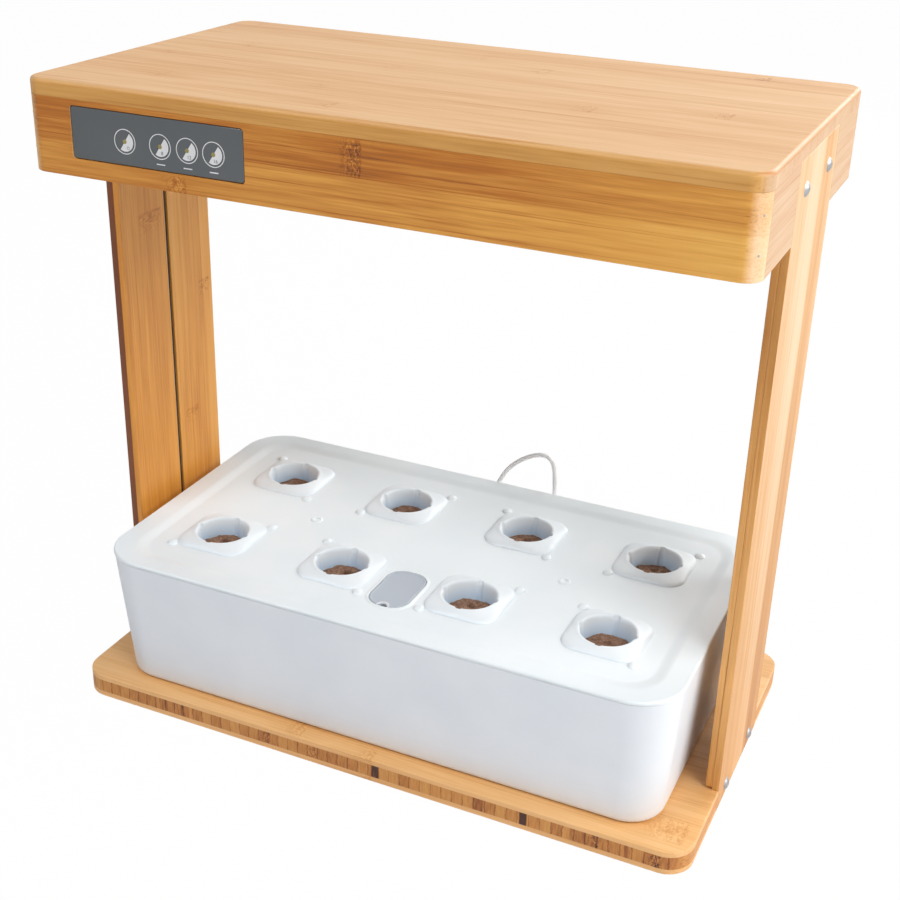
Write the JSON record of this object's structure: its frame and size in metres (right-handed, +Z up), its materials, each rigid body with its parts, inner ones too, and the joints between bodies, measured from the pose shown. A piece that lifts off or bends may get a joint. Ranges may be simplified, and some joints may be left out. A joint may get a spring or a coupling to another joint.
{
  "type": "countertop hydroponic garden",
  "caption": "Bamboo stand with a lamp canopy and touch panel over a white water tank; its lid has lift-out pods with grow sponges and a hinged filler flap, and a small pump sits inside.",
  "frame": {"origin": "centre of the base board's footprint, on the floor", "axes": "+Z up, +X to the right seen from the control panel's side, +Y to the back"},
  "size_m": [0.404, 0.22, 0.39],
  "materials": {
    "bamboo": "clear-lacquered bamboo, satin",
    "screw_steel": "nickel-plated",
    "panel_window": "glossy acrylic",
    "circuit_board": "solder mask",
    "white_enamel": "white enamel",
    "lamp_board_white": "white coated",
    "lamp_chip": "phosphor",
    "clear_sheet": "frosted acrylic",
    "black_plastic": "moulded",
    "black_cable": "satin sheath",
    "white_abs": "glossy moulded",
    "grey_flap": "satin moulded",
    "pod_white": "milky translucent",
    "grow_sponge": "open-pored sponge",
    "filter_foam": "open-pored foam",
    "rotor_white": "moulded",
    "shaft_steel": "ground",
    "foot_rubber": "soft",
    "white_rubber": "soft",
    "white_lead": "satin sheath"
  },
  "bodies": {
    "stand": {"base_board": "bamboo", "left_post_outer_board": "bamboo", "left_post_inner_front_board": "bamboo", "left_post_inner_rear_board": "bamboo", "right_post_outer_board": "bamboo", "right_post_inner_front_board": "bamboo", "right_post_inner_rear_board": "bamboo", "upper_post_screws": "screw_steel", "lower_post_screws": "screw_steel", "canopy_top_plate": "bamboo", "canopy_front_rail": "bamboo", "canopy_rear_rail": "bamboo", "canopy_left_rail": "bamboo", "canopy_right_rail": "bamboo", "control_panel": "panel_window", "touch_board": "circuit_board", "touch_key_springs": "screw_steel", "lamp_tray": "white_enamel", "lamp_tray_screws": "screw_steel", "lamp_board": "lamp_board_white", "lamp_chips": "lamp_chip", "board_screws": "screw_steel", "lamp_cover": "clear_sheet", "lamp_cover_screws": "screw_steel", "driver_board": "circuit_board", "power_socket": "black_plastic", "inlet_lead": "black_cable", "panel_lead": "black_cable", "lamp_lead": "black_cable", "post_cable": "black_cable", "tank_tub": "white_abs", "pump_body": "black_plastic", "pump_chamber_cover": "black_plastic", "pump_filter_sponge": "filter_foam", "pump_intake_grille": "black_plastic", "pump_shaft": "shaft_steel", "pump_suction_feet": "foot_rubber", "lead_grommet": "white_rubber", "pump_lead_inner": "white_lead", "pump_lead": "white_lead"},
    "lid": {"tank_lid": "white_abs"},
    "pod_1": {"pod_cup_1": "pod_white", "grow_sponge_1": "grow_sponge"},
    "pod_2": {"pod_cup_2": "pod_white", "grow_sponge_2": "grow_sponge"},
    "pod_3": {"pod_cup_3": "pod_white", "grow_sponge_3": "grow_sponge"},
    "pod_4": {"pod_cup_4": "pod_white", "grow_sponge_4": "grow_sponge"},
    "pod_5": {"pod_cup_5": "pod_white", "grow_sponge_5": "grow_sponge"},
    "pod_6": {"pod_cup_6": "pod_white", "grow_sponge_6": "grow_sponge"},
    "pod_7": {"pod_cup_7": "pod_white", "grow_sponge_7": "grow_sponge"},
    "pod_8": {"pod_cup_8": "pod_white", "grow_sponge_8": "grow_sponge"},
    "flap": {"filler_flap": "grey_flap"},
    "rotor": {"pump_rotor": "rotor_white"}
  },
  "joints": [
    {"name": "lid_lift", "type": "slide", "parent": "stand", "child": "lid", "axis": [0, 0, 1], "range_m": [0, 0.1]},
    {"name": "pod_1_lift", "type": "slide", "parent": "lid", "child": "pod_1", "axis": [0, 0, 1], "range_m": [0, 0.065]},
    {"name": "pod_2_lift", "type": "slide", "parent": "lid", "child": "pod_2", "axis": [0, 0, 1], "range_m": [0, 0.065]},
    {"name": "pod_3_lift", "type": "slide", "parent": "lid", "child": "pod_3", "axis": [0, 0, 1], "range_m": [0, 0.065]},
    {"name": "pod_4_lift", "type": "slide", "parent": "lid", "child": "pod_4", "axis": [0, 0, 1], "range_m": [0, 0.065]},
    {"name": "pod_5_lift", "type": "slide", "parent": "lid", "child": "pod_5", "axis": [0, 0, 1], "range_m": [0, 0.065]},
    {"name": "pod_6_lift", "type": "slide", "parent": "lid", "child": "pod_6", "axis": [0, 0, 1], "range_m": [0, 0.065]},
    {"name": "pod_7_lift", "type": "slide", "parent": "lid", "child": "pod_7", "axis": [0, 0, 1], "range_m": [0, 0.065]},
    {"name": "pod_8_lift", "type": "slide", "parent": "lid", "child": "pod_8", "axis": [0, 0, 1], "range_m": [0, 0.065]},
    {"name": "flap_hinge", "type": "hinge", "parent": "lid", "child": "flap", "pos_m": [0, -0.0435, 0.1023], "axis": [-1, 0, 0], "range_deg": [0, 95]},
    {"name": "rotor_spin", "type": "hinge", "parent": "stand", "child": "rotor", "pos_m": [0, 0.035, 0.035], "axis": [0, 1, 0], "continuous": true}
  ]
}
